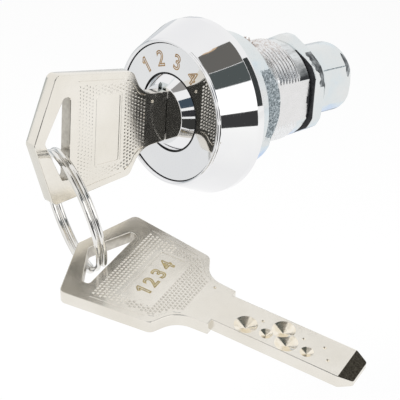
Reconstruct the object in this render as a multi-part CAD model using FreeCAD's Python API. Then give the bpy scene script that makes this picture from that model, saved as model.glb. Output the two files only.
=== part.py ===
import FreeCAD, Part
import math
import os

os.makedirs("parts", exist_ok=True)

# Millimetres. Y runs from the front of the lock into the cabinet, Z is up, and the origin lies on
# the lock axis where the collar starts, just behind the face that bears on the cabinet panel.

# front: bezel ring, number disc and plug boss
bezel_r = 16.5
bezel_rim = 1.5
bezel_corner = 0.25
panel_y = -0.1
bezel_lip = 0.65
lip_step = 0.1
lip_fall = 0.15
bead_r = 0.36
bead_back = 0.2
face_seat_r = 13.0
groove = 0.2
disc_face = -8.4
disc_t = 1.0
disc_bore = 7.4
gasket_step = 0.5
gasket_t = 0.4
wiper_t = 0.7
wiper_gap = 0.03
boss_r = 7.1
boss_tip_r = 5.45
boss_h = 1.8
boss_edge = 0.1
head_step = 1.4

# housing: flange held in the bezel, collar with the radius of the disc's seat, barrel and neck
flange_t = 0.4
flange_step = 0.3
collar_full = 4.5
collar_l = 6.8
barrel_r = 10.0
barrel_start = 10.8
barrel_lead = 0.1
thread_end = 16.8
thread_pitch = 1.0
thread_depth = 0.46
thread_flat = 0.12
neck_r = 9.6
neck_edge = 0.4
housing_end = 19.9
flat_x = 8.75
pocket_x = 9.75
pocket_top = 8.4
pocket_low = -5.9
cover_t = 0.9

# plug, pin chambers and retention
plug_r = 6.0
run_gap = 0.05
pin_r = 1.0
pin_tip_r = 0.35
pin_tip_l = 0.7
pin_tip_gap = 0.12
pin_sink = 0.03
driver_top = 7.4
spring_r = 0.85
spring_wire_r = 0.13
spring_turns = 3
seat_r = 7.8
seat_l = 2.0
snap_y = 18.2
snap_t = 0.8
snap_groove_r = 5.4
snap_room = 0.3
snap_open = 2.2
stop_y = 14.5
stop_r = 0.8
stop_web = 0.7
stop_reach = 7.3
stop_side = 0.15
stop_room = 0.2
stop_play = 9.0
turn_deg = 90.0
rod_r = 0.75
rod_x = 3.7
rod_z = 3.6
rod_l = 3.0

# tail behind the neck: double-D hub, hex nut and bolt
tail_gap = 0.2
hub_r = 7.0
hub_flat = 6.0
hub_flat_start = 26.6
hub_end = 34.9
hub_chamfer = 1.2
hub_edge = 0.45
hub_edge_r = 0.35
hub_face_r = 6.0
spigot = 6.4
spigot_l = 5.0
nut_af = 19.0
nut_round_r = 10.4
nut_t = 3.2
nut_edge = 0.5
nut_face_step = 0.2
nut_lead = 0.05
bolt_r = 1.5
bolt_gap = 0.1
bolt_head_r = 2.8
bolt_head_gap = 0.2
bolt_head_l = 2.5
bolt_head_y = 31.0
bolt_web = 0.7
socket_r = 1.45
socket_depth = 1.5

# key, given along the blade (u, zero at the shoulder) and across it (w)
key_t = 2.5
blade_w = 3.5
blade_l = 23.5
tip_l = 2.4
tip_w = 2.5
tip_half_t = 0.5
tip_round = 0.5
neck_w = 4.7
neck_round = 0.25
curve_u = 5.8
curve_w = 5.1
curve_round = 2.6
shoulder_u = 8.15
shoulder_w = 9.7
shoulder_round = 0.8
tail_u = 25.2
tail_w = 11.8
tail_round = 1.3
apex_u = 29.6
apex_round = 1.2
slot_front_u = 22.0
slot_side = 1.4
slot_apex_u = 27.3
slot_half = 7.5
slot_front_round = 0.7
slot_side_round = 0.6
slot_apex_round = 1.0
panel_u0 = 15.9
panel_u1 = 11.0
panel_w = 6.15
panel_round = 0.4
panel_depth = 0.15
keyway_gap = 0.1
keyway_room = 0.6
cut_low_w = -1.35
cut_high_w = 1.0
cut_pitch = 3.82
cut_low_u = 5.35
cut_high_u = 7.42
deep_r = 2.0
deep_d = 0.9
shallow_r = 1.15
shallow_d = 0.6

# split ring and the pose of the spare key that hangs on it
ring_r = 11.0
wire_r = 0.5
coil_pitch = 1.06
ring_turns = 2
ring_start = 20.0
ring_in_y = -34.3
ring_in_z = -2.6
spare_pass_u = -23.8
spare_pass_w = -2.4
ring_lean = 12.0
spare_x = 30.73
spare_y = -22.15
spare_z = -24.30
spare_yaw = 17.8
spare_pitch = -7.8
spare_roll = 16.35
toward_eye = (0.722, -0.577, 0.386)

# sizes that follow from those above
past = 2 * bezel_r + hub_end
disc_r = face_seat_r - groove
gasket_r = face_seat_r - gasket_step
head_r = face_seat_r - head_step
collar_r = face_seat_r
bezel_front_r = face_seat_r + bezel_lip
boss_face = disc_face - boss_h
disc_back = disc_face + disc_t
boss_back = disc_back - run_gap
flange_y = panel_y - flange_t
shoulder_y = boss_face - run_gap
plug_end = housing_end + tail_gap
keyway_end = boss_face + blade_l + tip_l + keyway_room
bolt_tip_y = keyway_end + bolt_web
cover_back = pocket_x - cover_t
chamber_r = pin_r + run_gap
spigot_end = plug_end + spigot_l
Y_AXIS = FreeCAD.Vector(0, 1, 0)
Z_AXIS = FreeCAD.Vector(0, 0, 1)


def vec(x, y, z):
    return FreeCAD.Vector(x, y, z)


def times(v, amount):
    return vec(v.x * amount, v.y * amount, v.z * amount)


def turned(profile):
    points = [vec(r, y, 0) for r, y in profile]
    face = Part.Face(Part.makePolygon(points + [points[0]]))
    return face.revolve(vec(0, 0, 0), Y_AXIS, 360)


def rod_along_y(radius, y0, y1, x=0.0, z=0.0):
    return Part.makeCylinder(radius, y1 - y0, vec(x, y0, z), Y_AXIS)


def rod_along_x(radius, x0, x1, y, z):
    return Part.makeCylinder(radius, x1 - x0, vec(x0, y, z), vec(1, 0, 0))


def block(x0, x1, y0, y1, z0, z1):
    return Part.makeBox(x1 - x0, y1 - y0, z1 - z0, vec(x0, y0, z0))


def tube(outer, inner, y0, y1):
    return rod_along_y(outer, y0, y1).cut(rod_along_y(inner, y0 - past, y1 + past))


def half_turn(shape):
    copy = shape.copy()
    copy.rotate(vec(0, 0, 0), Y_AXIS, 180)
    return copy


def rounded_face(corners, x):
    """Face in the plane at x from (u, w, corner radius) triples."""
    points = [vec(x, u, w) for u, w, r in corners]
    count = len(points)
    starts = []
    ends = []
    middles = []
    for i in range(count):
        here = points[i]
        radius = corners[i][2]
        before = points[i - 1].sub(here)
        after = points[(i + 1) % count].sub(here)
        before.normalize()
        after.normalize()
        angle = before.getAngle(after)
        if radius <= 0:
            starts.append(here)
            ends.append(here)
            middles.append(None)
            continue
        reach = radius / math.tan(angle / 2)
        start = here.add(times(before, reach))
        end = here.add(times(after, reach))
        inward = times(start.add(end), 0.5).sub(here)
        inward.normalize()
        middle = here.add(times(inward, radius / math.sin(angle / 2) - radius))
        starts.append(start)
        ends.append(end)
        middles.append(middle)
    edges = []
    for i in range(count):
        if middles[i] is not None:
            edges.append(Part.Arc(starts[i], middles[i], ends[i]).toShape())
        following = starts[(i + 1) % count]
        if ends[i].sub(following).Length > 1e-6:
            edges.append(Part.LineSegment(ends[i], following).toShape())
    return Part.Face(Part.Wire(Part.__sortEdges__(edges)))


def plate(corners, x0, x1):
    return rounded_face(corners, x0).extrude(vec(x1 - x0, 0, 0))


def arc_between(start, corner, end):
    """Arc that leaves start towards the corner and reaches end from it."""
    middle = times(start.add(end), 0.5)
    half = end.sub(start).Length / 2
    side = corner.sub(start).Length
    out = corner.sub(middle)
    out.normalize()
    turn = math.acos(half / side)
    return Part.Arc(start, middle.add(times(out, half * math.tan(turn / 2))), end).toShape()


def coil(radius, wire, pitch, turns):
    """Round wire wound about Z from height zero, each quarter turn drawn by two tangent arcs."""
    rise = pitch / (2 * math.pi)
    edges = []
    for i in range(4 * turns):
        a = i * math.pi / 2
        b = a + math.pi / 2
        p = vec(radius * math.cos(a), radius * math.sin(a), rise * a)
        q = vec(radius * math.cos(b), radius * math.sin(b), rise * b)
        leave = vec(-radius * math.sin(a), radius * math.cos(a), rise)
        arrive = vec(-radius * math.sin(b), radius * math.cos(b), rise)
        leave.normalize()
        arrive.normalize()
        chord = q.sub(p)
        both = leave.add(arrive)
        bend = 2 * (1 - leave.dot(arrive))
        root = math.sqrt(chord.dot(both) ** 2 + bend * chord.dot(chord))
        reach = (root - chord.dot(both)) / bend
        first = p.add(times(leave, reach))
        second = q.sub(times(arrive, reach))
        joint = times(first.add(second), 0.5)
        edges.append(arc_between(p, first, joint))
        edges.append(arc_between(joint, second, q))
    section = Part.Wire(Part.makeCircle(wire, vec(radius, 0, 0), vec(0, radius, rise)))
    return Part.Wire(edges).makePipeShell([section], True, False)


# stations of the pins along the blade: (u, w, cut radius, cut depth)
stations = [
    (cut_low_u, cut_low_w, deep_r, deep_d),
    (cut_low_u + cut_pitch, cut_low_w, shallow_r, shallow_d),
    (cut_low_u + 2 * cut_pitch, cut_low_w, deep_r, deep_d),
    (cut_low_u + 3 * cut_pitch, cut_low_w, shallow_r, shallow_d),
    (cut_high_u + cut_pitch, cut_high_w, deep_r, deep_d),
]
uncut_stations = [
    (cut_high_u, cut_high_w),
    (cut_high_u + 3 * cut_pitch, cut_high_w),
]


def key_blank():
    outline = [
        (-apex_u, 0.0, apex_round),
        (-tail_u, tail_w, tail_round),
        (-shoulder_u, shoulder_w, shoulder_round),
        (-curve_u, curve_w, curve_round),
        (0.0, neck_w, neck_round),
        (0.0, blade_w, 0.0),
        (blade_l, blade_w, 0.0),
        (blade_l + tip_l, tip_w, tip_round),
        (blade_l + tip_l, -tip_w, tip_round),
        (blade_l, -blade_w, 0.0),
        (0.0, -blade_w, 0.0),
        (0.0, -neck_w, neck_round),
        (-curve_u, -curve_w, curve_round),
        (-shoulder_u, -shoulder_w, shoulder_round),
        (-tail_u, -tail_w, tail_round),
    ]
    half = key_t / 2
    body = plate(outline, -half, half)
    slot = [
        (-slot_front_u, slot_half, slot_front_round),
        (-slot_front_u, -slot_half, slot_front_round),
        (-slot_front_u - slot_side, -slot_half, slot_side_round),
        (-slot_apex_u, 0.0, slot_apex_round),
        (-slot_front_u - slot_side, slot_half, slot_side_round),
    ]
    body = body.cut(plate(slot, -key_t, key_t))
    panel = [
        (-panel_u0, -panel_w, panel_round),
        (-panel_u0, panel_w, panel_round),
        (-panel_u1, panel_w, panel_round),
        (-panel_u1, -panel_w, panel_round),
    ]
    body = body.cut(plate(panel, half - panel_depth, key_t))
    body = body.cut(plate(panel, -key_t, -half + panel_depth))
    for side in (1, -1):
        for u, w, radius, depth in stations:
            floor = vec(side * (half - depth), u, side * w)
            body = body.cut(Part.makeCone(0, radius, depth, floor, vec(side, 0, 0)))
        ramp = Part.Face(Part.makePolygon([
            vec(side * half, blade_l, -tail_w),
            vec(side * tip_half_t, blade_l + tip_l, -tail_w),
            vec(side * tip_half_t, 2 * blade_l, -tail_w),
            vec(side * key_t, 2 * blade_l, -tail_w),
            vec(side * key_t, blade_l, -tail_w),
            vec(side * half, blade_l, -tail_w),
        ]))
        body = body.cut(ramp.extrude(vec(0, 0, 2 * tail_w)))
    return body


def spare_axes():
    yaw = math.radians(spare_yaw)
    pitch = math.radians(spare_pitch)
    roll = math.radians(spare_roll)
    along = vec(math.cos(pitch) * math.cos(yaw), math.cos(pitch) * math.sin(yaw), math.sin(pitch))
    level = vec(-math.sin(yaw), math.cos(yaw), 0)
    steep = along.cross(level)
    across = times(level, math.cos(roll)).add(times(steep, math.sin(roll)))
    normal = along.cross(across)
    return normal, along, across


def from_axes(a, b, c, origin):
    return FreeCAD.Matrix(
        a.x, b.x, c.x, origin.x,
        a.y, b.y, c.y, origin.y,
        a.z, b.z, c.z, origin.z,
        0, 0, 0, 1)


# housing, turned in one piece and then cut on its two sides
housing = turned([
    (0.0, disc_back),
    (head_r, disc_back),
    (head_r, flange_y),
    (collar_r - flange_step, flange_y),
    (collar_r - flange_step, 0.0),
    (collar_r, 0.0),
    (collar_r, collar_l),
    (barrel_r - barrel_lead, barrel_start),
    (barrel_r, barrel_start + 2 * barrel_lead),
    (barrel_r, thread_end),
    (neck_r, thread_end + neck_edge),
    (neck_r, housing_end - neck_edge),
    (neck_r - neck_edge, housing_end),
    (0.0, housing_end),
])
outer_form = housing.copy()
side_flat = block(flat_x, past, barrel_start, past, -past, past)
housing = housing.cut(side_flat).cut(half_turn(side_flat))

# thread: V grooves on the barrel's top and bottom arcs between the two flats, half a pitch apart
thread_turns = int((thread_end - barrel_start) / thread_pitch) - 1
root_r = barrel_r - thread_depth
flank = (thread_pitch / 2 - thread_flat) / thread_depth


def half_grooves(first):
    grooves = []
    for turn in range(thread_turns):
        y = first + turn * thread_pitch
        section = []
        for side, deep in ((-1, 0), (1, 0), (1, 1), (-1, 1)):
            half_width = thread_flat / 2 + deep * 2 * thread_depth * flank
            section.append(vec(root_r + deep * 2 * thread_depth, y + side * half_width, 0))
        grooves.append(Part.Face(Part.makePolygon(section + [section[0]])).revolve(vec(0, 0, 0), Y_AXIS, 180))
    return grooves


for groove in half_grooves(barrel_start + 3 * thread_pitch / 4):
    housing = housing.cut(groove)
for groove in half_grooves(barrel_start + 5 * thread_pitch / 4):
    housing = housing.cut(half_turn(groove))

# side pockets of the collar
covered_pocket = block(cover_back, past, collar_full, barrel_start, pocket_low, pocket_top)
bare_pocket = block(pocket_x, past, collar_full, barrel_start, pocket_low, pocket_top)
housing = housing.cut(covered_pocket).cut(half_turn(bare_pocket))
housing = housing.cut(rod_along_y(plug_r + run_gap, -past, past))
housing = housing.cut(rod_along_y(seat_r, housing_end - seat_l, past))

pin_places = []
for u, w, radius, depth in stations:
    pin_places.append((shoulder_y + u, w))
for u, w in uncut_stations:
    pin_places.append((shoulder_y + u, w))
for y, z in pin_places:
    reach = cover_back if y > collar_full else past
    housing = housing.cut(rod_along_x(chamber_r, 0.0, reach, y, z))

# recess that the stop pin turns in
recess_r = stop_reach + stop_room
recess_y0 = stop_y - stop_r - stop_side
recess_y1 = stop_y + stop_r + stop_side
fan = [vec(0, recess_y0, 0)]
for step in range(6):
    angle = math.radians(-stop_play + step * (turn_deg + 2 * stop_play) / 5)
    fan.append(vec(2 * recess_r * math.sin(angle), recess_y0, 2 * recess_r * math.cos(angle)))
fan_face = Part.Face(Part.makePolygon(fan + [fan[0]]))
sector = fan_face.extrude(vec(0, recess_y1 - recess_y0, 0))
housing = housing.cut(sector.common(rod_along_y(recess_r, recess_y0, recess_y1)))

# cover over the rear chambers, trimmed to the sloping collar
cover_block = block(cover_back, pocket_x, collar_full, barrel_start, pocket_low, pocket_top)
cover = cover_block.common(outer_form)

# bezel ring and the pieces round the number disc
bead_c = bezel_front_r - bead_r
bead_y = disc_face - bead_back
bead = []
for step in range(9):
    angle = math.pi * step / 8
    bead.append((bead_c - bead_r * math.cos(angle), bead_y - bead_r * math.sin(angle)))
bezel_bore = head_r + run_gap
bezel_floor = disc_back + run_gap
bezel = turned([
    (collar_r + run_gap, panel_y),
    (collar_r + run_gap, flange_y),
    (bezel_bore, flange_y),
    (bezel_bore, disc_back + gasket_t),
    (gasket_r, disc_back + gasket_t),
    (gasket_r, bezel_floor),
    (face_seat_r, bezel_floor),
    (face_seat_r, bead_y),
] + bead + [
    (bezel_front_r, bead_y + lip_fall),
    (bezel_front_r + lip_step, bead_y + 2 * lip_fall),
    (bezel_r, -bezel_rim),
    (bezel_r, panel_y - bezel_corner),
    (bezel_r - bezel_corner, panel_y),
])

disc = tube(disc_r, disc_bore, disc_face, disc_back)
disc_gasket = tube(gasket_r, bezel_bore, disc_back, disc_back + gasket_t)
plug_wiper = tube(disc_bore, boss_r + wiper_gap, disc_back - wiper_t, disc_back)

# plug with its keyway, the boss in front of it and the pins
keyway_half_t = key_t / 2 + keyway_gap
keyway_half_w = blade_w + keyway_gap
keyway = block(-keyway_half_t, keyway_half_t, -past, keyway_end, -keyway_half_w, keyway_half_w)
boss = turned([
    (0.0, boss_back),
    (boss_r, boss_back),
    (boss_r, disc_face),
    (boss_tip_r + boss_edge, boss_face + boss_edge),
    (boss_tip_r - boss_edge, boss_face),
    (0.0, boss_face),
]).cut(keyway)

half_spigot = spigot / 2
plug = rod_along_y(plug_r, boss_back, plug_end)
plug = plug.fuse(block(-half_spigot, half_spigot, stop_y, spigot_end, -half_spigot, half_spigot))
plug = plug.removeSplitter()
plug = plug.cut(keyway)
plug = plug.cut(tube(past, snap_groove_r, snap_y - run_gap, snap_y + snap_t + run_gap))
stop_root = keyway_half_w + stop_web
plug = plug.cut(Part.makeCylinder(stop_r, past, vec(0, stop_y, stop_root), Z_AXIS))
plug = plug.cut(rod_along_y(bolt_r, bolt_tip_y, past))
for y, z in pin_places:
    plug = plug.cut(rod_along_x(chamber_r, 0.0, past, y, z))
rods = []
for x in (-rod_x, rod_x):
    hole = rod_along_y(rod_r, boss_back, boss_back + rod_l, x, rod_z)
    plug = plug.cut(hole)
    rods.append(hole)
guard_rods = Part.makeCompound(rods)

plug_round = rod_along_y(plug_r - pin_sink, -past, past)
house_round = rod_along_y(plug_r + run_gap, -past, past)
spring_space = cover_back - driver_top
spring_pitch = (spring_space - 2 * spring_wire_r) / spring_turns
spring = coil(spring_r - spring_wire_r, spring_wire_r, spring_pitch, spring_turns)
spring.rotate(vec(0, 0, 0), Y_AXIS, 90)
key_pins = []
driver_pins = []
springs = []
caps = []
for y, z in pin_places:
    tip_x = key_t / 2 + pin_tip_gap
    nose = Part.makeCone(pin_tip_r, pin_r, pin_tip_l, vec(tip_x, y, z), vec(1, 0, 0))
    shank = rod_along_x(pin_r, tip_x + pin_tip_l, driver_top, y, z)
    key_pins.append(nose.fuse(shank).removeSplitter().common(plug_round))
    driver_pins.append(rod_along_x(pin_r, 0.0, driver_top, y, z).cut(house_round))
    wound = spring.copy()
    wound.translate(vec(driver_top + spring_wire_r, y, z))
    springs.append(wound)
    if y <= collar_full:
        caps.append(rod_along_x(chamber_r, cover_back, past, y, z).common(outer_form))
deep_pins = Part.makeCompound([key_pins[0], key_pins[2], key_pins[4]])
shallow_pins = Part.makeCompound([key_pins[1], key_pins[3], key_pins[5], key_pins[6]])
drivers = Part.makeCompound(driver_pins)
spring_set = Part.makeCompound(springs)
cap_set = Part.makeCompound(caps)

snap_ring = tube(seat_r - snap_room, snap_groove_r, snap_y, snap_y + snap_t)
snap_ring = snap_ring.cut(block(-snap_open / 2, snap_open / 2, 0.0, past, -past, 0.0))
stop_pin = Part.makeCylinder(stop_r, stop_reach - stop_root, vec(0, stop_y, stop_root), Z_AXIS)

# tail hub, nut and bolt
hub = turned([
    (0.0, plug_end),
    (hub_r, plug_end),
    (hub_r, hub_end - hub_chamfer),
    (hub_r - hub_edge_r, hub_end - hub_edge),
    (hub_face_r, hub_end),
    (0.0, hub_end),
])
hub_side = block(hub_flat, past, hub_flat_start, past, -past, past)
hub = hub.cut(hub_side).cut(half_turn(hub_side))
half_socket = half_spigot + run_gap
socket_end = spigot_end + tail_gap
hub = hub.cut(block(-half_socket, half_socket, 0.0, socket_end, -half_socket, half_socket))
hub = hub.cut(rod_along_y(bolt_r + bolt_gap, 0.0, past))
hub = hub.cut(rod_along_y(bolt_head_r + bolt_head_gap, bolt_head_y, past))
bolt_head_end = bolt_head_y + bolt_head_l
bolt = rod_along_y(bolt_r, bolt_tip_y, bolt_head_y)
bolt = bolt.fuse(rod_along_y(bolt_head_r, bolt_head_y, bolt_head_end)).removeSplitter()
socket = []
for i in range(6):
    angle = math.radians(60 * i)
    across_x = socket_r * math.cos(angle)
    socket.append(vec(across_x, bolt_head_end - socket_depth, socket_r * math.sin(angle)))
socket_face = Part.Face(Part.makePolygon(socket + [socket[0]]))
bolt = bolt.cut(socket_face.extrude(vec(0, 2 * socket_depth, 0)))

nut_y = plug_end - nut_lead
nut_end = nut_y + nut_t
nut_face_r = nut_af / 2 - nut_face_step
corner = nut_af / 2 / math.cos(math.radians(30))
hexagon = []
for i in range(6):
    angle = math.radians(30 + 60 * i)
    hexagon.append(vec(corner * math.cos(angle), nut_y, corner * math.sin(angle)))
nut = Part.Face(Part.makePolygon(hexagon + [hexagon[0]])).extrude(vec(0, nut_t, 0))
nut = nut.common(turned([
    (0.0, nut_y),
    (nut_face_r, nut_y),
    (nut_round_r, nut_y + nut_edge),
    (nut_round_r, nut_end - nut_edge),
    (nut_face_r, nut_end),
    (0.0, nut_end),
]))
nut = nut.cut(rod_along_y(hub_r + run_gap, 0.0, past))

# keys and the split ring
blank = key_blank()
inserted_key = blank.copy()
inserted_key.translate(vec(0, shoulder_y, 0))
normal, along, across = spare_axes()
spare_origin = vec(spare_x, spare_y, spare_z)
spare_key = blank.copy()
spare_key.Placement = FreeCAD.Placement(from_axes(normal, along, across, spare_origin))

pass_a = vec(0, ring_in_y, ring_in_z)
pass_b = spare_origin.add(times(along, spare_pass_u)).add(times(across, spare_pass_w))
chord = pass_b.sub(pass_a)
half_chord = chord.Length / 2
chord.normalize()
toward = vec(*toward_eye)
toward = toward.sub(times(chord, toward.dot(chord)))
toward.normalize()
side = toward.cross(chord)
lean = math.radians(ring_lean)
depth_dir = times(toward, math.cos(lean)).add(times(side, math.sin(lean)))
ring_axis = chord.cross(depth_dir)
sag = math.sqrt(ring_r * ring_r - half_chord * half_chord)
ring_centre = times(pass_a.add(pass_b), 0.5).sub(times(depth_dir, sag))
ring = coil(ring_r, wire_r, coil_pitch, ring_turns)
ring.translate(vec(0, 0, -coil_pitch * ring_turns / 2))
ring.rotate(vec(0, 0, 0), Z_AXIS, ring_start)
turn_ring = FreeCAD.Placement(from_axes(chord, depth_dir, ring_axis, ring_centre))
ring.Placement = turn_ring.multiply(ring.Placement)

nodes = {
    "housing_barrel": housing,
    "chamber_cover": cover,
    "chamber_caps": cap_set,
    "driver_pins": drivers,
    "pin_springs": spring_set,
    "bezel_ring": bezel,
    "number_disc": disc,
    "disc_gasket": disc_gasket,
    "plug_wiper": plug_wiper,
    "plug_boss": boss,
    "key_plug": plug,
    "drill_guard_rods": guard_rods,
    "key_pins_deep": deep_pins,
    "key_pins_shallow": shallow_pins,
    "stop_pin": stop_pin,
    "snap_ring": snap_ring,
    "drive_hub": hub,
    "tail_bolt": bolt,
    "hex_nut": nut,
    "inserted_key": inserted_key,
    "split_ring": ring,
    "spare_key": spare_key,
}

for name, shape in nodes.items():
    if not shape.isValid():
        print("INVALID", name)
    shape.exportStep("parts/" + name + ".step")
    print(name, round(shape.Volume, 3), len(shape.Solids))
print("gap between ring turns", round(coil_pitch - 2 * wire_r, 3))
print("gap between spring turns", round(spring_pitch - 2 * spring_wire_r, 3))
print("ring centre", ring_centre, "axis", ring_axis)
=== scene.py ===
import math
import random

import bmesh
import bpy
from mathutils import Matrix, Vector


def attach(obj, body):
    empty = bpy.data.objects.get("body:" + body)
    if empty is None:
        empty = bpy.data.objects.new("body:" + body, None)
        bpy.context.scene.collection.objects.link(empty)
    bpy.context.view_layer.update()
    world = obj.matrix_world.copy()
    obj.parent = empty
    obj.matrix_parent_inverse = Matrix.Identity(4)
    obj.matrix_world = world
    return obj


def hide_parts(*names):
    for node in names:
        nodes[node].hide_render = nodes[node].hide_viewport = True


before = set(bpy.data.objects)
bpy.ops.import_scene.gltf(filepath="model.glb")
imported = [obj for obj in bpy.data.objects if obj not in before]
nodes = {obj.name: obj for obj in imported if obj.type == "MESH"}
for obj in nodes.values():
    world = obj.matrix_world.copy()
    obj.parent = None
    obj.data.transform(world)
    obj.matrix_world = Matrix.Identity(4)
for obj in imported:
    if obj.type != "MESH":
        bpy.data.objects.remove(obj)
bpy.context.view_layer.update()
scene = bpy.context.scene

# Cabinet cylinder lock: dressed pieces, stage, lamps and camera.
# The lock's axis is Y, with its face towards -Y and its tail towards +Y. X is right and Z is up.
# Lengths are in millimetres and become metres where a mesh is made.

MM = 0.001
TO_METRES = Matrix.Diagonal((MM, MM, MM, 1))
TO_MM = Matrix.Diagonal((1 / MM, 1 / MM, 1 / MM, 1))
TURN = 2 * math.pi


# meshes

def in_scene(name, data):
    """New object for a mesh, curve, lamp or camera."""
    obj = bpy.data.objects.new(name, data)
    scene.collection.objects.link(obj)
    return obj


def piece(mesh, name, material, body, replaced=()):
    """Show a mesh as a named piece that rides on a body."""
    obj = in_scene(name, mesh)
    if material is not None:
        mesh.materials.append(material)
    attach(obj, body)
    for node in replaced:
        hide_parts(node)


def smooth(mesh, angle=32.0):
    mesh.shade_smooth()
    mesh.set_sharp_from_angle(angle=math.radians(angle))
    return mesh


def as_mesh(obj, helpers=()):
    """Mesh of an object with its modifiers or curve settings applied. The objects go."""
    bpy.context.view_layer.update()
    graph = bpy.context.evaluated_depsgraph_get()
    mesh = bpy.data.meshes.new_from_object(obj.evaluated_get(graph))
    for used in (obj, *helpers):
        bpy.data.objects.remove(used)
    return mesh


def welded(mesh, distance):
    """The mesh with doubled vertices merged and its faces turned outward."""
    bm = bmesh.new()
    bm.from_mesh(mesh)
    bmesh.ops.remove_doubles(bm, verts=bm.verts, dist=distance)
    bmesh.ops.recalc_face_normals(bm, faces=bm.faces)
    bm.to_mesh(mesh)
    bm.free()
    return mesh


def from_grid(name, rings, closed_around=True, closed_along=False):
    """Mesh from rings of points in millimetres, each ring joined to the next."""
    count = len(rings[0])
    verts = [Vector(p) * MM for ring in rings for p in ring]
    faces = []
    last = len(rings) if closed_along else len(rings) - 1
    around = count if closed_around else count - 1
    for i in range(last):
        j = (i + 1) % len(rings)
        for k in range(around):
            m = (k + 1) % count
            faces.append((i * count + k, i * count + m, j * count + m, j * count + k))
    mesh = bpy.data.meshes.new(name)
    mesh.from_pydata(verts, [], faces)
    mesh.validate()
    return mesh


def from_capped(name, rings):
    """Closed mesh from rings of points in millimetres with its two ends filled."""
    count = len(rings[0])
    mesh = from_grid(name, rings)
    bm = bmesh.new()
    bm.from_mesh(mesh)
    bm.verts.ensure_lookup_table()
    total = len(bm.verts)
    bm.faces.new([bm.verts[k] for k in range(count)][::-1])
    bm.faces.new([bm.verts[total - count + k] for k in range(count)])
    bmesh.ops.recalc_face_normals(bm, faces=bm.faces)
    bm.to_mesh(mesh)
    bm.free()
    return mesh


def turned(name, profile, segments=256, limit=None):
    """Surface turned about the lock's axis from (radius, y) pairs. limit(angle, y) may hold the radius in."""
    rings = []
    for k in range(segments):
        a = TURN * k / segments
        ring = []
        for r, y in profile:
            held = min(r, limit(a, y)) if limit else r
            ring.append((held * math.cos(a), y, held * math.sin(a)))
        rings.append(ring)
    return welded(from_grid(name, rings, closed_along=True), 1e-7)


def ring_at(y, angles, radius_of):
    """Ring of points about the lock's axis from radius_of(angle, y)."""
    ring = []
    for a in angles:
        r = radius_of(a, y)
        ring.append((r * math.cos(a), y, r * math.sin(a)))
    return ring


def sleeve(name, angles, outside, places, inside_profile):
    """Closed surface with a shaped outside at each place along the axis and a round inside."""
    rings = [ring_at(y, angles, outside) for y in places]
    for r, y in inside_profile:
        rings.append([(r * math.cos(a), y, r * math.sin(a)) for a in angles])
    return from_grid(name, rings, closed_along=True)


def flat_curve(name, loops):
    """Curve in the XY plane from closed loops of (x, y)."""
    curve = bpy.data.curves.new(name, "CURVE")
    curve.dimensions = "2D"
    for loop in loops:
        spline = curve.splines.new("POLY")
        spline.points.add(len(loop) - 1)
        for point, (x, y) in zip(spline.points, loop):
            point.co = (x, y, 0, 1)
        spline.use_cyclic_u = True
    return curve


def box_mesh(name, x0, x1, y0, y1, z0, z1):
    low = [(x0, y0, z0), (x1, y0, z0), (x1, y1, z0), (x0, y1, z0)]
    high = [(x, y, z1) for x, y, z in low]
    return from_capped(name, [low, high])


def cut(mesh, cutters, with_paint=False):
    """The mesh less the cutters. With paint, each cut surface takes its cutter's material."""
    host = in_scene("host", mesh)
    tools = []
    for cutter in cutters:
        tool = in_scene("cutter", cutter)
        tools.append(tool)
        mod = host.modifiers.new("cut", "BOOLEAN")
        mod.operation = "DIFFERENCE"
        mod.solver = "EXACT"
        if with_paint:
            mod.material_mode = "TRANSFER"
        mod.object = tool
    return as_mesh(host, tools)


def joined(name, meshes):
    """One mesh from several, without their materials."""
    bm = bmesh.new()
    for mesh in meshes:
        bm.from_mesh(mesh)
    result = bpy.data.meshes.new(name)
    bm.to_mesh(result)
    bm.free()
    return result


def repaint(mesh, material, test, unit=MM):
    """Give the faces that pass the test, by centre and normal in millimetres, a further material."""
    mesh.materials.append(material)
    index = len(mesh.materials) - 1
    for face in mesh.polygons:
        if test(face.center / unit, face.normal):
            face.material_index = index


def painted(mesh, material):
    """The mesh with this material alone."""
    mesh.materials.clear()
    mesh.materials.append(material)
    return mesh


def axes_matrix(x, y, z, origin=(0, 0, 0)):
    """Matrix that lays X, Y and Z along three directions, at a place."""
    return Matrix([*zip(x, y, z, origin), (0, 0, 0, 1)])


def arc(cx, cy, r, start, stop, steps):
    """Points on an arc between two angles in degrees."""
    points = []
    for i in range(steps + 1):
        a = math.radians(start + (stop - start) * i / steps)
        points.append((cx + r * math.cos(a), cy + r * math.sin(a)))
    return points


def spaced(start, stop, step):
    """Even places from start to stop, about one step apart."""
    count = max(1, round((stop - start) / step))
    return [start + (stop - start) * i / count for i in range(count)] + [stop]


def turn_of(c):
    """Angle in degrees of a place about the lock's axis, from +X towards +Z."""
    return math.degrees(math.atan2(c.z, c.x))


def radius_at(c):
    return math.hypot(c.x, c.z)


def tooth(turn, land, rise):
    """Depth of a thread's groove, 0 to 1, from the turn count and the widths of its land and flank."""
    return max(0.0, min(1.0, (abs(turn % 1.0 - 0.5) * 2 - land) / rise))


# materials

def rgb(r, g, b):
    return (r, g, b, 1.0)


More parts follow.
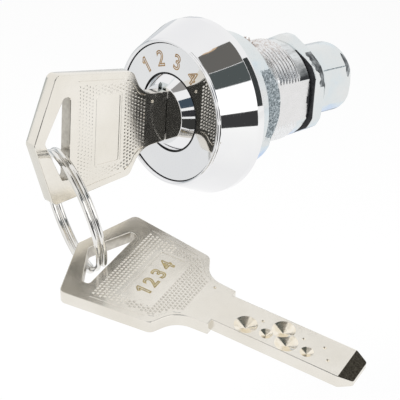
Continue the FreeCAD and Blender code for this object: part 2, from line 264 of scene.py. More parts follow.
class Shader:
    """A shader built step by step from object coordinates."""

    def __init__(self, name, base, metallic, roughness):
        self.material = bpy.data.materials.new(name)
        self.material.use_nodes = True
        self.tree = self.material.node_tree
        self.shader = self.tree.nodes["Principled BSDF"]
        self.shader.inputs["Base Color"].default_value = rgb(*base)
        self.shader.inputs["Metallic"].default_value = metallic
        self.shader.inputs["Roughness"].default_value = roughness
        mapped = self.tree.nodes.new("ShaderNodeTexCoord").outputs
        self.coords = mapped["Object"]
        self.facing = mapped["Normal"]
        self.height = None

    def node(self, kind, **inputs):
        """New node with values on its sockets, each named with _ for a space."""
        node = self.tree.nodes.new(kind)
        for key, value in inputs.items():
            node.inputs[key.replace("_", " ")].default_value = value
        return node

    def wire(self, a, b):
        self.tree.links.new(a, b)

    def noise(self, per_mm, detail=3.0, rough=0.55, stretch=(1, 1, 1)):
        mapping = self.node("ShaderNodeMapping", Scale=stretch)
        self.wire(self.coords, mapping.inputs["Vector"])
        node = self.node("ShaderNodeTexNoise", Detail=detail, Roughness=rough, Scale=per_mm / MM)
        self.wire(mapping.outputs["Vector"], node.inputs["Vector"])
        return node.outputs["Fac"]

    def ranged(self, value, low, high, out_low, out_high):
        node = self.node("ShaderNodeMapRange", From_Min=low, From_Max=high, To_Min=out_low, To_Max=out_high)
        self.wire(value, node.inputs["Value"])
        return node.outputs["Result"]

    def part_of(self, vector, axis):
        node = self.node("ShaderNodeSeparateXYZ")
        self.wire(vector, node.inputs["Vector"])
        return node.outputs[axis]

    def added(self, a, b):
        node = self.node("ShaderNodeMath")
        self.wire(a, node.inputs[0])
        self.wire(b, node.inputs[1])
        return node.outputs["Value"]

    def colours(self, value, stops):
        ramp = self.node("ShaderNodeValToRGB")
        elements = ramp.color_ramp.elements
        while len(elements) < len(stops):
            elements.new(0.5)
        for element, (place, colour) in zip(elements, stops):
            element.position = place
            element.color = rgb(*colour)
        self.wire(value, ramp.inputs["Fac"])
        self.wire(ramp.outputs["Color"], self.shader.inputs["Base Color"])

    def rough(self, noise, low, high, out_low, out_high):
        value = self.ranged(self.noise(*noise), low, high, out_low, out_high)
        self.wire(value, self.shader.inputs["Roughness"])

    def bump(self, noise, depth, strength):
        node = self.node("ShaderNodeBump", Strength=strength, Distance=depth * MM)
        self.wire(self.noise(*noise), node.inputs["Height"])
        if self.height is not None:
            self.wire(self.height, node.inputs["Normal"])
        self.height = node.outputs["Normal"]
        self.wire(self.height, self.shader.inputs["Normal"])


def textured(name, base, metallic, roughness, tint, stops, polish=None, bumps=()):
    """Material with noise in its colour and, where asked, in its roughness and relief.

    tint is the colour's noise and stops its ramp. polish is the roughness's noise with its range
    and what that range becomes. Each bump is a noise with its depth and strength.
    """
    s = Shader(name, base, metallic, roughness)
    s.colours(s.noise(*tint), stops)
    if polish:
        s.rough(*polish)
    for bump in bumps:
        s.bump(*bump)
    return s.material


def nickel(name, smoothest, roughest):
    return textured(
        name, (0.80, 0.77, 0.71), 1.0, 0.24,
        (0.12, 3.0), [(0.3, (0.765, 0.73, 0.66)), (0.7, (0.825, 0.795, 0.735))],
        ((0.9, 4.0, 0.6), 0.3, 0.75, smoothest, roughest),
        [((6.0, 3.0, 0.6), 0.003, 0.3), ((0.35, 2.0), 0.003, 0.2)])


def ink(name, dark, light):
    return textured(
        name, light, 0.15, 0.45, (1.6, 4.0, 0.7), [(0.35, dark), (0.65, light)],
        ((2.0, 3.0), 0.3, 0.7, 0.35, 0.6))


def bright_zinc():
    """Clear zinc plate with random tone, and painted blue shade on faces turned down."""
    s = Shader("bright_zinc", (0.80, 0.84, 0.86), 1.0, 0.24)
    # painted shade: faces that turn down get bluer and darker
    painted_shade_below = s.ranged(s.part_of(s.facing, "Z"), -0.85, -0.2, 0.0, 0.42)
    s.colours(s.added(s.ranged(s.noise(0.16, 4.0, 0.6), 0.25, 0.75, 0.0, 0.6), painted_shade_below), [
        (0.12, (0.34, 0.50, 0.82)), (0.36, (0.56, 0.67, 0.82)), (0.50, (0.66, 0.74, 0.79)),
        (0.66, (0.715, 0.755, 0.765)), (0.93, (0.755, 0.765, 0.76))])
    s.rough((0.8, 4.0, 0.6), 0.3, 0.75, 0.13, 0.24)
    s.bump((1.2, 3.0, 0.5), 0.008, 0.35)
    s.bump((0.5, 2.0, 0.5, (1.0, 9.0, 1.0)), 0.008, 0.4)
    return s.material


def thread_zinc():
    """Zinc on the thread: light, turning brown-grey towards the top."""
    s = Shader("thread_zinc", (0.80, 0.81, 0.81), 1.0, 0.28)
    lighter_below = s.ranged(s.part_of(s.coords, "Z"), 6.0 * MM, 9.8 * MM, 0.30, 0.02)
    s.colours(s.added(s.ranged(s.noise(2.2, 3.0, 0.7), 0.3, 0.7, 0.0, 0.7), lighter_below), [
        (0.08, (0.56, 0.50, 0.46)), (0.26, (0.70, 0.66, 0.64)), (0.44, (0.80, 0.80, 0.80)),
        (0.8, (0.86, 0.87, 0.88))])
    s.rough((1.5, 3.0), 0.3, 0.7, 0.2, 0.34)
    s.bump((3.0, 3.0, 0.6), 0.008, 0.4)
    return s.material


def brushed_zinc_painted_reflection():
    """Dull streaked zinc beside the barrel's upper flat edge, with a painted dark reflection that deepens
    towards the flat.
    """
    s = Shader("brushed_zinc_painted_reflection", (0.5, 0.52, 0.53), 1.0, 0.3)
    # painted reflection: darkest at the flat's edge, lighter higher up
    rise = s.ranged(s.part_of(s.coords, "Z"), 3.9 * MM, 7.4 * MM, 0.0, 0.85)
    s.colours(s.added(s.ranged(s.noise(0.9, 4.0, 0.7, (1.0, 0.4, 1.0)), 0.3, 0.7, -0.2, 0.2), rise), [
        (0.08, (0.035, 0.037, 0.04)), (0.40, (0.20, 0.21, 0.215)), (0.70, (0.52, 0.53, 0.535)),
        (0.92, (0.73, 0.755, 0.765))])
    s.rough((0.8, 4.0), 0.3, 0.7, 0.15, 0.26)
    return s.material


M_ZINC = bright_zinc()
M_THREAD = thread_zinc()
M_NECK_REFLECTION = brushed_zinc_painted_reflection()
M_CHROME = textured(
    "chrome_plate", (0.83, 0.83, 0.84), 1.0, 0.04,
    (0.09, 2.0), [(0.3, (0.82, 0.82, 0.835)), (0.7, (0.86, 0.86, 0.86))],
    ((0.25, 4.0), 0.3, 0.75, 0.025, 0.07), [((0.12, 2.0), 0.004, 0.35)])
# painted shade: dull grey in the bottom of the thread's grooves
M_GROOVE_SHADE = textured(
    "painted_groove_shade", (0.36, 0.36, 0.37), 1.0, 0.4, (2.0, 3.0, 0.7),
    [(0.3, (0.20, 0.20, 0.21)), (0.55, (0.44, 0.44, 0.45)), (0.8, (0.70, 0.70, 0.71))],
    ((1.5, 3.0), 0.3, 0.7, 0.3, 0.5))
# milled flats of the barrel
M_FLAT = textured(
    "flat_zinc", (0.76, 0.76, 0.76), 1.0, 0.28,
    (0.3, 4.0, 0.6, (1.0, 1.0, 2.5)), [(0.3, (0.74, 0.735, 0.73)), (0.7, (0.785, 0.775, 0.775))],
    ((0.8, 4.0, 0.6), 0.3, 0.75, 0.2, 0.3))
# dark patches: painted dark reflection on the nut, and a dark mark near the end of the tail
M_REFLECTION_AND_MARK = textured(
    "painted_reflection_and_dark_mark", (0.3, 0.31, 0.31), 1.0, 0.3, (0.55, 4.0, 0.6, (0.7, 1.6, 1.0)), [
        (0.36, (0.05, 0.055, 0.06)), (0.48, (0.13, 0.14, 0.145)), (0.60, (0.32, 0.34, 0.35)),
        (0.74, (0.66, 0.69, 0.70))],
    ((1.0, 4.0), 0.3, 0.7, 0.2, 0.36))
M_BURR = textured(
    "brown_burr", (0.55, 0.40, 0.32), 0.7, 0.4,
    (1.5, 3.0, 0.7), [(0.35, (0.42, 0.33, 0.29)), (0.65, (0.80, 0.75, 0.71))],
    ((2.0, 3.0), 0.3, 0.7, 0.3, 0.55))
M_CAST = textured(
    "cast_zinc", (0.46, 0.52, 0.57), 0.85, 0.5, (3.0, 3.0, 0.85), [
        (0.36, (0.06, 0.075, 0.085)), (0.47, (0.24, 0.28, 0.30)), (0.56, (0.40, 0.46, 0.49)),
        (0.66, (0.78, 0.82, 0.85))],
    ((3.0, 3.0), 0.3, 0.7, 0.35, 0.62), [((3.0, 3.0, 0.8), 0.07, 0.9)])
M_NICKEL = nickel("satin_nickel", 0.19, 0.27)
M_BRIGHT = nickel("bright_nickel", 0.11, 0.17)
# the keys' filed tips, their fresh cuts, the sheared wall of the slot and the painted shade on the knurl's
# sides
M_FILED = textured(
    "filed_nickel", (0.60, 0.57, 0.52), 1.0, 0.35, (3.5, 5.0, 0.8),
    [(0.40, (0.035, 0.030, 0.022)), (0.62, (0.10, 0.09, 0.07)), (0.80, (0.42, 0.39, 0.33))],
    ((4.0, 4.0), 0.3, 0.7, 0.3, 0.5), [((5.0, 5.0, 0.8), 0.05, 0.8)])
M_FRESH = textured(
    "fresh_cut", (0.88, 0.81, 0.68), 1.0, 0.25,
    (0.8, 3.0), [(0.3, (0.84, 0.76, 0.61)), (0.7, (0.93, 0.88, 0.79))],
    ((1.5, 4.0), 0.3, 0.7, 0.12, 0.22))
M_SHEAR = textured(
    "sheared_nickel", (0.58, 0.55, 0.49), 1.0, 0.4,
    (0.9, 4.0, 0.6), [(0.3, (0.50, 0.47, 0.42)), (0.7, (0.66, 0.63, 0.565))],
    ((2.0, 4.0), 0.3, 0.7, 0.32, 0.5), [((1.5, 3.0, 0.6), 0.02, 0.5)])
M_KNURL_SHADE = textured(
    "painted_knurl_shade", (0.70, 0.67, 0.61), 1.0, 0.35,
    (0.9, 4.0, 0.6), [(0.3, (0.63, 0.60, 0.545)), (0.7, (0.72, 0.69, 0.63))],
    ((2.0, 4.0), 0.3, 0.7, 0.28, 0.42))
# painted shade: near black, for gaps, grooves and recesses
M_PAINTED_SHADE = textured(
    "painted_dark_shade", (0.02, 0.02, 0.022), 0.3, 0.55,
    (1.5, 3.0), [(0.3, (0.012, 0.012, 0.014)), (0.7, (0.035, 0.036, 0.04))])
M_RING = textured(
    "polished_steel", (0.78, 0.77, 0.74), 1.0, 0.08,
    (0.2, 2.0), [(0.3, (0.76, 0.74, 0.70)), (0.7, (0.84, 0.83, 0.81))],
    ((0.3, 3.0), 0.3, 0.7, 0.05, 0.10))
M_BRASS = textured(
    "machined_brass", (0.75, 0.60, 0.32), 1.0, 0.25,
    (0.5, 3.0), [(0.3, (0.66, 0.50, 0.24)), (0.7, (0.82, 0.67, 0.38))],
    bumps=[((0.6, 2.0, 0.5, (0.2, 8.0, 0.2)), 0.01, 0.4)])
M_SPRING = textured(
    "spring_steel", (0.50, 0.51, 0.53), 1.0, 0.3,
    (0.8, 3.0), [(0.3, (0.40, 0.41, 0.43)), (0.7, (0.60, 0.61, 0.63))],
    ((1.5, 4.0), 0.3, 0.7, 0.2, 0.42))
M_RUBBER = textured(
    "black_rubber", (0.03, 0.03, 0.03), 0.0, 0.7,
    (1.5, 3.0), [(0.3, (0.022, 0.022, 0.023)), (0.7, (0.05, 0.05, 0.05))],
    bumps=[((3.0, 3.0), 0.02, 0.4)])
M_GOLD = ink("gold_brown_print", (0.26, 0.14, 0.045), (0.44, 0.29, 0.13))
M_OLIVE = ink("olive_brown_print", (0.20, 0.15, 0.05), (0.40, 0.32, 0.14))

# hidden pieces keep the CAD's shapes
for material, names in (
        (M_ZINC, ["chamber_caps"]), (M_RUBBER, ["disc_gasket", "plug_wiper"]),
        (M_BRASS, ["driver_pins", "key_plug", "key_pins_deep", "key_pins_shallow"]),
        (M_SPRING, ["pin_springs", "drill_guard_rods", "stop_pin", "snap_ring", "tail_bolt"])):
    for name in names:
        painted(nodes[name].data, material)


# bezel ring, number disc and plug boss

# places along the axis
REAR_Y, RECESS_Y, BORE_Y, LEDGE_Y, SEAT_Y = -0.1, -0.5, -7.0, -7.35, -8.55
DISC_BACK, EDGE_Y, DISC_Y, BOSS_Y = -7.4, -8.34, -8.4, -10.2
# radii of the bezel: outside, collar's seat, bore, step and disc's seat
BEZEL_R, COLLAR_SEAT_R, BORE_R, STEP_R, SEAT_R = 16.5, 13.05, 11.65, 12.5, 13.0
# rounded edges: centre's radius and place, radius of the edge
BEAD = (SEAT_R + 0.29, -8.6, 0.36)
RIM_FRONT, RIM_REAR = (BEZEL_R - 0.45, -1.75, 0.45), (BEZEL_R - 0.25, -0.35, 0.25)
# foot of the bead, where the cone starts
BEAD_FOOT = [(13.63, -8.50), (13.72, -8.42), (13.80, -8.28)]

bezel_profile = [
    (COLLAR_SEAT_R, REAR_Y), (COLLAR_SEAT_R, RECESS_Y), (BORE_R, RECESS_Y), (BORE_R, BORE_Y),
    (STEP_R, BORE_Y), (STEP_R, LEDGE_Y), (SEAT_R, LEDGE_Y), (SEAT_R, -8.42), (SEAT_R, SEAT_Y),
    *arc(*BEAD, 180, 330, 14), *BEAD_FOOT, *arc(*RIM_FRONT, -22, 0, 4), *arc(*RIM_REAR, 0, 90, 5)]
bezel = turned("bezel_ring_form", bezel_profile)
piece(smooth(bezel, 24), "bezel_chrome", M_CHROME, "housing", ["bezel_ring"])
# painted shade on the groove's walls round the disc and on the bezel's inner faces
repaint(bezel, M_PAINTED_SHADE, lambda c, n: radius_at(c) < SEAT_R + 0.02 and -8.5 < c.y < -0.2)

DISC_IN_R, DISC_OUT_R = 7.4, 12.82
disc_profile = [
    (DISC_IN_R, DISC_BACK), (DISC_IN_R, EDGE_Y), (DISC_IN_R + 0.06, DISC_Y), (DISC_OUT_R - 0.08, DISC_Y),
    (DISC_OUT_R - 0.02, EDGE_Y), (DISC_OUT_R, -8.0), (DISC_OUT_R, DISC_BACK)]
disc = turned("number_disc_form", disc_profile)
piece(smooth(disc), "number_disc_chrome", M_CHROME, "housing", ["number_disc"])
# painted shade on the disc's rim and back, down in the groove
repaint(disc, M_PAINTED_SHADE, lambda c, n: c.y > DISC_Y + 0.03)

BOSS_R, BOSS_BACK, BOSS_ROUND = 7.1, -7.45, 0.23
KEYWAY = (-1.35, 1.35, -12, -6, -3.6, 3.6)
NOTCH = (-1.25, 0.9, -12, -9.75, 3.5, 6.2)
boss_profile = [
    (0.0, BOSS_BACK), (BOSS_R, BOSS_BACK), (BOSS_R, DISC_Y),
    *arc(5.35, BOSS_Y + BOSS_ROUND, BOSS_ROUND, -42, -90, 4), (0.0, BOSS_Y)]
boss = cut(turned("boss_form", boss_profile), [box_mesh("keyway", *KEYWAY), box_mesh("notch", *NOTCH)])


def keyway_wall(c, n):
    return abs(c.x) < 1.4 and abs(n.x) > 0.9 and abs(c.z) < 3.5


def notch_wall(c, n):
    wall = abs(n.x) > 0.9 or abs(n.z) > 0.9 or c.y > -9.8
    return wall and abs(c.x) < 1.3 and c.y < -9.0 and 3.5 < c.z < 6.25


piece(smooth(boss, 20), "plug_boss_chrome", M_CHROME, "plug", ["plug_boss"])
# painted shade on the keyway's side walls
repaint(boss, M_PAINTED_SHADE, keyway_wall)
repaint(boss, M_ZINC, notch_wall)


# printed numbers

# corners of a plain digit one at size 1
ONE = [
    (-0.17, 0.20), (-0.02, 0.36), (0.08, 0.36), (0.08, -0.36), (-0.02, -0.36), (-0.02, 0.22), (-0.12, 0.12)]
PRINT_FLATNESS = 0.16


def outlined(text, size, line):
    """Outline of a character as thin raised lines, centred, in millimetres in the XY plane."""
    if text == "1":
        glyph = flat_curve("glyph_1", [[(x * size, y * size) for x, y in ONE]])
    else:
        glyph = bpy.data.curves.new("glyph_" + text, "FONT")
        glyph.body = text
        glyph.size = size
        glyph.resolution_u = 5
    glyph.fill_mode = "NONE"
    glyph.bevel_depth = line / 2
    glyph.bevel_resolution = 1
    mesh = as_mesh(in_scene("glyph", glyph))
    low, high = (
        Vector((pick(v.co[i] for v in mesh.vertices) for i in range(3))) for pick in (min, max))
    mesh.transform(Matrix.Translation(-(low + high) / 2))
    mesh.transform(Matrix.Diagonal((1, 1, PRINT_FLATNESS, 1)))
    mesh.materials.clear()
    return mesh


def print_digit(digit, name, size, line, axes, place, ink_used, body):
    """One printed digit that reads along the first axis, stands up along the second and faces the third."""
    glyph = outlined(digit, size, line)
    glyph.transform(TO_METRES @ axes_matrix(*axes, place))
    piece(smooth(glyph), name + digit, ink_used, body)


DIGIT_R = 10.0
for digit, angle in (("1", 133.5), ("2", 107.5), ("3", 81.5), ("4", 55.5)):
    a = math.radians(angle)
    up = (math.cos(a), 0, math.sin(a))
    right = (math.sin(a), 0, -math.cos(a))
    place = (DIGIT_R * math.cos(a), DISC_Y, DIGIT_R * math.sin(a))
    print_digit(digit, "disc_digit_", 4.0, 0.25, (right, up, (0, -1, 0)), place, M_GOLD, "housing")


# housing: collar with side pockets, thread, flats and neck

COLLAR_R, COLLAR_END, CONE_R, RECESSED_R, PLUG_BORE_R = 13.0, 6.8, 9.9, 12.7, 6.05
BARREL_R, START, THREAD_END = 10.0, 10.8, 16.8
PITCH, THREAD_DEPTH, THREAD_LAND, THREAD_FLANK, FADE_IN, FADE_OUT = 0.8, 0.40, 0.12, 0.76, 0.5, 0.3
NECK_R, HOUSING_END, CHAMFER, HOUSING_STEPS = 9.6, 19.9, 0.4, 540
REAR_BORE_R, REAR_BORE_Y, NICK_Y = 7.8, 17.9, 19.15
FLAT_X, POCKET_X, POCKET_TOP, POCKET_LOW, POCKET_Y = 8.75, 9.75, 8.4, -5.9, 4.5


def housing_round(y):
    """Radius of the collar and of the slope behind it, before pockets and flats."""
    if y <= COLLAR_END:
        return COLLAR_R
    return COLLAR_R + (CONE_R - COLLAR_R) * (y - COLLAR_END) / (START - COLLAR_END)


def housing_radius(a, y):
    """Outer radius of the housing at an angle and a place along the axis. Its thread is a little uneven."""
    if y < 0:
        r = RECESSED_R
    elif y <= START:
        r = housing_round(y)
    elif y <= THREAD_END:
        depth = THREAD_DEPTH * tooth((y - START) / PITCH - a / TURN, THREAD_LAND, THREAD_FLANK)
        fade = min(1.0, (y - START) / FADE_IN, (THREAD_END - y) / FADE_OUT)
        r = BARREL_R - 0.02 - depth * max(0.0, fade)
        r += 0.03 * math.sin(9 * a + 1.3 * y) * max(0.0, math.sin(3 * a + 0.8))
    elif y <= HOUSING_END - CHAMFER:
        r = NECK_R
    else:
        r = NECK_R - (y - HOUSING_END + CHAMFER)
    c = math.cos(a)
    reach = abs(c)
    if reach < 1e-3:
        return r
    if y > START:
        r = min(r, FLAT_X / reach)
    across = r * math.sin(a) * (1 if c > 0 else -1)
    if POCKET_Y < y < START and POCKET_LOW < across < POCKET_TOP:
        r = min(r, POCKET_X / reach)
    return r


# places just before and after a step keep its edge sharp
STEP_GAP, EDGE_GAP = 0.002, 0.0006
along = [
    RECESS_Y, -0.001, 0.0, 2.2, POCKET_Y - STEP_GAP, POCKET_Y + STEP_GAP, 5.6, COLLAR_END, 7.8, 8.8, 9.8,
    START - STEP_GAP, *spaced(START + STEP_GAP, THREAD_END, 0.05), THREAD_END + STEP_GAP,
    18.0, 18.9, NICK_Y, 19.3, HOUSING_END - CHAMFER, HOUSING_END]
angles = [TURN * k / HOUSING_STEPS for k in range(HOUSING_STEPS)]
for base in (0.0, math.pi):
    for z in (POCKET_LOW, POCKET_TOP):
        edge = base + math.atan2(z, POCKET_X)
        angles += [edge - EDGE_GAP, edge + EDGE_GAP]
angles = sorted(a % TURN for a in angles)
shell = sleeve("housing_form", angles, housing_radius, along, [
    (REAR_BORE_R, HOUSING_END), (REAR_BORE_R, REAR_BORE_Y),
    (PLUG_BORE_R, REAR_BORE_Y), (PLUG_BORE_R, RECESS_Y)])
piece(smooth(shell, 30), "housing_zinc", M_ZINC, "housing", ["housing_barrel"])

# angles in degrees between which the gaps at the nut get painted shade
GAP_FROM, GAP_TO = -95, 66


def on_arc(c):
    return radius_at(c) > 9.0 and abs(c.x) < FLAT_X - 0.02


def in_groove(c, _):
    threaded = START + 0.3 < c.y < THREAD_END and on_arc(c)
    return threaded and c.z > 0 and radius_at(c) < BARREL_R - 0.30


def on_painted_reflection(c, _):
    return THREAD_END + 0.1 < c.y < HOUSING_END - CHAMFER and on_arc(c) and 20 < turn_of(c) < 78


def on_end_chamfer(c, _):
    return HOUSING_END - CHAMFER < c.y < HOUSING_END - 0.01 and GAP_FROM < turn_of(c) < GAP_TO


def in_nick(c, _):
    """Small nick at the rear edge of the flat, shown only by painted shade."""
    return c.x > FLAT_X - 0.05 and c.y > NICK_Y and abs(c.z + 0.1) < 0.75


repaint(shell, M_THREAD, lambda c, n: START - 0.9 < c.y < THREAD_END + 0.1 and on_arc(c))
# painted shade in the bottom of the thread's grooves, on the upper half
repaint(shell, M_GROOVE_SHADE, in_groove)
repaint(shell, M_FLAT, lambda c, n: abs(n.x) > 0.98 and START + 0.1 < c.y < HOUSING_END)
# painted dark reflection on the neck, above the flat's edge
repaint(shell, M_NECK_REFLECTION, on_painted_reflection)
# painted shade on the housing's end chamfer, in the gap before the nut
repaint(shell, M_PAINTED_SHADE, on_end_chamfer)
# painted shade for the small nick
repaint(shell, M_PAINTED_SHADE, in_nick)

# chips of burr where the thread starts at the top
CHIPS = 9
rng = random.Random(7)
chips = []
for k in range(CHIPS):
    a = math.radians(rng.uniform(82, 93))
    y = rng.uniform(10.2, 11.8)
    r = housing_radius(a, y) + 0.08
    w, t, h = rng.uniform(0.08, 0.22), rng.uniform(0.08, 0.25), rng.uniform(0.4, 1.3)
    chip = box_mesh("chip", -w, w, -t, t, -0.3, h)
    for v in chip.vertices:
        v.co += Vector((rng.uniform(-0.1, 0.1), rng.uniform(-0.1, 0.1), rng.uniform(-0.08, 0.08))) * MM
    place = Vector((r * math.cos(a), y, r * math.sin(a))) * MM
    chip.transform(Matrix.Translation(place) @ Matrix.Rotation(math.pi / 2 - a, 4, "Y"))
    chips.append(chip)
piece(joined("burr_form", chips), "thread_burr", M_BURR, "housing")

# head of the housing, inside the bezel
IN_BEZEL_R = BORE_R - 0.05
head_profile = [
    (PLUG_BORE_R, DISC_BACK), (IN_BEZEL_R, DISC_BACK), (IN_BEZEL_R, RECESS_Y), (PLUG_BORE_R, RECESS_Y)]
head = turned("head_form", head_profile, 128)
piece(smooth(head), "housing_head", M_ZINC, "housing")

# cover over the rear pin chambers: a rough cast plate flush with the pocket
COVER_ROWS, COVER_COLUMNS, COVER_GAP = 60, 40, 0.02
plate = []
for i in range(COVER_ROWS + 1):
    z = POCKET_LOW + COVER_GAP + (POCKET_TOP - POCKET_LOW - 2 * COVER_GAP) * i / COVER_ROWS
    row = []
    for j in range(COVER_COLUMNS + 1):
        y = POCKET_Y + COVER_GAP + (START - POCKET_Y - 2 * COVER_GAP) * j / COVER_COLUMNS
        grain = math.sin(13.1 * y + 3.7 * math.sin(5.3 * z)) * math.sin(11.7 * z + 2.9 * math.sin(6.1 * y))
        surface = math.sqrt(max(housing_round(y) ** 2 - z * z, 0.0))
        row.append((min(POCKET_X + 0.04 + 0.05 * grain, surface - 0.06), y, z))
    plate.append(row)
cover = from_grid("cover_form", plate, closed_around=False)
piece(smooth(cover, 60), "chamber_cover_cast", M_CAST, "housing", ["chamber_cover"])


# hex nut

NUT_Y, NUT_T, NUT_APOTHEM, NUT_FACE_R, NUT_OUT_R, NUT_CHAMFER = 20.05, 3.2, 9.5, 9.25, 10.4, 0.5
NUT_HOLE_R, NUT_MOUTH_R, NUT_STEPS = 7.06, 7.4, 540
NUT_END = NUT_Y + NUT_T


def nut_limit(a, _):
    """Distance from the axis to the hexagon's side at an angle."""
    side = ((math.degrees(a) + 30) % 60) - 30
    return NUT_APOTHEM / math.cos(math.radians(side))


shares = [i / 8 for i in range(9)]
spread = NUT_OUT_R - NUT_FACE_R
nut_profile = [
    *((NUT_FACE_R + spread * s, NUT_Y + NUT_CHAMFER * s ** 1.15) for s in shares),
    *((NUT_OUT_R, NUT_Y + NUT_CHAMFER + 0.1 * i) for i in range(1, 22)),
    *((NUT_OUT_R - spread * s, NUT_END - NUT_CHAMFER * (1 - s) ** 1.15) for s in shares),
    (NUT_MOUTH_R, NUT_END), (NUT_HOLE_R, NUT_END - 0.3), (NUT_HOLE_R, NUT_Y + 0.3), (NUT_MOUTH_R, NUT_Y)]


def under_nut(c, _):
    """Painted shade on the nut's front edge in the gap, which narrows towards the top."""
    a = turn_of(c)
    return a > GAP_FROM and c.y < NUT_Y + 0.45 * min(1.0, (GAP_TO - a) / 18)


def painted_reflection_on_nut(c, _):
    """Ragged patch of painted dark reflection on the nut's upper right side."""
    a = turn_of(c)
    ragged = 0.22 * math.sin(0.31 * a) + 0.12 * math.sin(0.9 * a + 1.0)
    return 13 < a < 57 and c.y > NUT_Y + 0.85 + ragged + 0.045 * abs(a - 40) and radius_at(c) > 8.0


nut = turned("nut_form", nut_profile, NUT_STEPS, nut_limit)
piece(smooth(nut, 16), "hex_nut_zinc", M_ZINC, "nut", ["hex_nut"])
# painted shade on the nut's front edge
repaint(nut, M_PAINTED_SHADE, under_nut)
# painted dark reflection on the nut's upper right side
repaint(nut, M_REFLECTION_AND_MARK, painted_reflection_on_nut)


# tail hub

HUB_R, HUB_FLAT, HUB_Y0, HUB_END, FLAT_START = 7.0, 6.0, 20.1, 34.9, 26.6
HUB_TIP, HUB_SHOULDER, HUB_DROP, HUB_STEPS = 0.45, 1.2, 0.35, 360
BOLT_HEAD_R, BOLT_HOLE_R, BOLT_SEAT_Y = 3.0, 1.6, 31.0
HUB_THREAD_END, HUB_PITCH, HUB_THREAD_DEPTH = FLAT_START - 0.3, 0.75, 0.20


def hub_radius(a, y):
    """Outer radius of the tail: fine thread with wear behind the nut, then two flats."""
    r = HUB_R
    if y > HUB_END - HUB_TIP:
        r = HUB_R - HUB_DROP - 0.65 * ((y - HUB_END + HUB_TIP) / HUB_TIP) ** 1.3
    elif y > HUB_END - HUB_SHOULDER:
        r = HUB_R - HUB_DROP * ((y - HUB_END + HUB_SHOULDER) / (HUB_SHOULDER - HUB_TIP)) ** 1.6
    if y < HUB_THREAD_END:
        r -= HUB_THREAD_DEPTH * tooth(y / HUB_PITCH - a / TURN, 0.35, 0.6)
        r -= 0.03 * max(0.0, math.sin(7 * a + 2 * y))
    reach = abs(math.cos(a))
    if y > FLAT_START and reach > 1e-3:
        r = min(r, HUB_FLAT / reach)
    return r


hub_along = [
    *spaced(HUB_Y0, HUB_THREAD_END, 0.05), FLAT_START - 0.02, FLAT_START + 0.02, 30.0,
    *spaced(HUB_END - 2.1, HUB_END, 0.075)]
hub_angles = [TURN * k / HUB_STEPS for k in range(HUB_STEPS)]
hub = sleeve("hub_form", hub_angles, hub_radius, hub_along, [
    (BOLT_HEAD_R + 0.25, HUB_END), (BOLT_HEAD_R, HUB_END - 0.25), (BOLT_HEAD_R, BOLT_SEAT_Y),
    (BOLT_HOLE_R, BOLT_SEAT_Y), (BOLT_HOLE_R, HUB_Y0)])
EDGE_Z = math.sqrt(HUB_R ** 2 - HUB_FLAT ** 2)


def on_flat_edge(c, _):
    return c.x > 0 and 27.6 < c.y < HUB_END - HUB_SHOULDER and EDGE_Z - 0.02 < c.z < EDGE_Z + 0.16


def spindle_mark(c, _):
    """Spindle-shaped mark near the end of the tail."""
    share = (turn_of(c) - 12) / 44
    if not 0 < share < 1:
        return False
    return abs(c.y - HUB_END + 0.85 + 0.6 * share) < 0.72 * math.sin(math.pi * share) ** 0.7


piece(smooth(hub, 28), "drive_hub_zinc", M_ZINC, "plug", ["drive_hub"])
repaint(hub, M_CAST, on_flat_edge)
repaint(hub, M_REFLECTION_AND_MARK, spindle_mark)


# keys: u runs along the key from its shoulder to its tip and w across it

KEY_T, SHOULDER_Y, EDGE_ROUND = 2.5, -10.25, 0.14
HALF_T = KEY_T / 2
BLADE_W, TIP_W, TIP_U, RAMP_U = 3.5, 2.5, 25.9, 23.5
PANEL_U0, PANEL_U1, PANEL_W, PANEL_DEEP, FRAME_OUT = -15.9, -11.0, 6.15, 0.08, 0.42
FIELD_REAR, FIELD_FRONT, FIELD_W = -20.5, -5.0, 9.9
KNURL_STEP_U, KNURL_STEP_W, KNURL_BASE_U, KNURL_TIP = 0.70, 0.66, 0.26, 0.06
KNURL_CLEAR, KNURL_SPLIT = 0.75, -14.0
# round cuts on each face: places (u, w), radius, depth and sides
CUTS = [
    ([(5.35, -1.35), (12.99, -1.35), (11.24, 1.0)], 2.0, 0.9, 48),
    ([(9.17, -1.35), (16.81, -1.35)], 1.15, 0.6, 48),
    ([(-3.5, 3.4), (7.42, 0.85), (15.06, 0.9), (18.88, 1.0), (20.6, -1.25)], 0.32, 0.12, 16)]
# corners (u, w, rounding radius) of the blank's outline, of the slot for the ring and of the knurled field
OUTLINE = [
    (-29.6, 0.0, 1.2), (-25.2, 11.8, 1.3), (-8.15, 9.7, 1.5), (-5.8, 5.1, 4.6), (0.0, 4.7, 0.25),
    (0.0, BLADE_W, 0.0), (RAMP_U, BLADE_W, 0.0), (TIP_U, TIP_W, 0.5), (TIP_U, -TIP_W, 0.5),
    (RAMP_U, -BLADE_W, 0.0), (0.0, -BLADE_W, 0.0), (0.0, -4.7, 0.25), (-5.8, -5.1, 4.6),
    (-8.15, -9.7, 1.5), (-25.2, -11.8, 1.3)]
SLOT = [(-22.0, 7.5, 0.7), (-22.0, -7.5, 0.7), (-23.4, -7.5, 0.6), (-27.3, 0.0, 1.0), (-23.4, 7.5, 0.6)]
FIELD = [
    (FIELD_REAR, 9.45), (-8.9, 8.05), (-7.9, 7.0), (-6.9, 5.3), (FIELD_FRONT, 4.45), (FIELD_FRONT, -4.45),
    (-6.9, -5.3), (-7.9, -7.0), (-8.9, -8.05), (FIELD_REAR, -9.45)]
